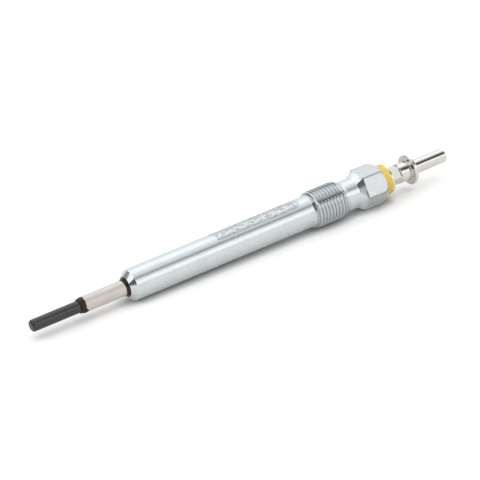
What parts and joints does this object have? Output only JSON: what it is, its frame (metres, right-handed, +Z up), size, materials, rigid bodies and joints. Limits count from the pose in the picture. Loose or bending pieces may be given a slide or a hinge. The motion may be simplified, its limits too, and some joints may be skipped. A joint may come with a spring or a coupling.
{
  "type": "diesel glow plug",
  "caption": "Long slim glow plug: ceramic heating rod in a metal sleeve, plain body with conical seat, fine thread, hexagon, insulating bush and a crimped pin terminal with a flange.",
  "frame": {"origin": "under the middle of the plug's length, on the surface that it lies on", "axes": "+X along the plug towards the terminal pin, +Z up; the plug rests on its front shoulder, the front crest of its thread and one corner of its hexagon, so its axis rises 0.84 degrees towards the pin and the flats of the hexagon are turned 7.3 degrees from level"},
  "size_m": [0.1283, 0.0112, 0.0105],
  "materials": {
    "zinc_plated_steel": "bright zinc plating over turned steel",
    "heat_resistant_steel": "satin, slightly warm",
    "dark_ceramic": "ground dark silicon nitride, opaque",
    "conductive_ceramic": "matt conductive ceramic, opaque",
    "lead_metal": "drawn wire",
    "dark_braze": "darkened braze",
    "nickel_wire": "drawn nickel wire",
    "tube_plastic": "heat-resistant plastic",
    "rod_steel": "drawn steel rod",
    "seal_rubber": "matt black rubber",
    "yellow_plastic": "semi-gloss moulded plastic",
    "nickel_plate": "bright nickel plating"
  },
  "bodies": {
    "root": {"housing": "zinc_plated_steel", "heater_sleeve": "heat_resistant_steel", "ceramic_rod": "dark_ceramic", "heating_element": "conductive_ceramic", "supply_lead": "lead_metal", "ground_lead": "lead_metal", "supply_electrode": "conductive_ceramic", "ground_electrode": "conductive_ceramic", "rod_braze": "dark_braze", "nose_braze": "dark_braze", "contact_ring": "heat_resistant_steel", "connecting_coil": "nickel_wire", "insulating_tube": "tube_plastic", "centre_rod": "rod_steel", "centring_ring": "tube_plastic", "seal_ring_front": "seal_rubber", "seal_ring_rear": "seal_rubber", "insulating_bush": "yellow_plastic", "terminal_washer": "nickel_plate", "terminal_pin": "nickel_plate"}
  },
  "joints": []
}
